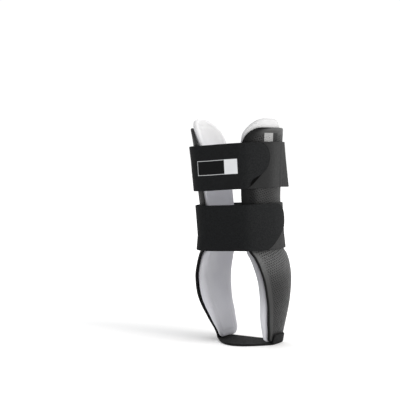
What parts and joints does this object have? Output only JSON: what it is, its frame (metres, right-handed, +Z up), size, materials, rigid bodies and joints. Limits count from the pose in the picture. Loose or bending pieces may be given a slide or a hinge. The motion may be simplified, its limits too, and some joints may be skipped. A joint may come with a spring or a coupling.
{
  "type": "stirrup ankle brace",
  "caption": "Stirrup ankle brace with moulded side shells, foam side pads, wrap straps that close with round tongues, and a strap under the heel.",
  "frame": {"origin": "on the flat underside of the heel strap, below the axis of the ankle", "axes": "+Z up along the leg, -Y to the toes, +X to the inner side of a right ankle, where the strap tongues close"},
  "size_m": [0.106, 0.1017, 0.2461],
  "materials": {
    "shell": "satin dark grey moulding with a fine dimple pattern",
    "pad": "smooth white foam with a soft skin",
    "strap": "black brushed loop pile",
    "strap_base": "dark grey woven elastic",
    "heel_webbing": "black woven webbing"
  },
  "bodies": {
    "root": {"medial_shell": "shell", "lateral_shell": "shell", "medial_pad": "pad", "lateral_pad": "pad", "upper_strap": "strap", "lower_strap": "strap", "upper_strap_base": "strap_base", "lower_strap_base": "strap_base", "heel_strap": "heel_webbing"}
  },
  "joints": []
}
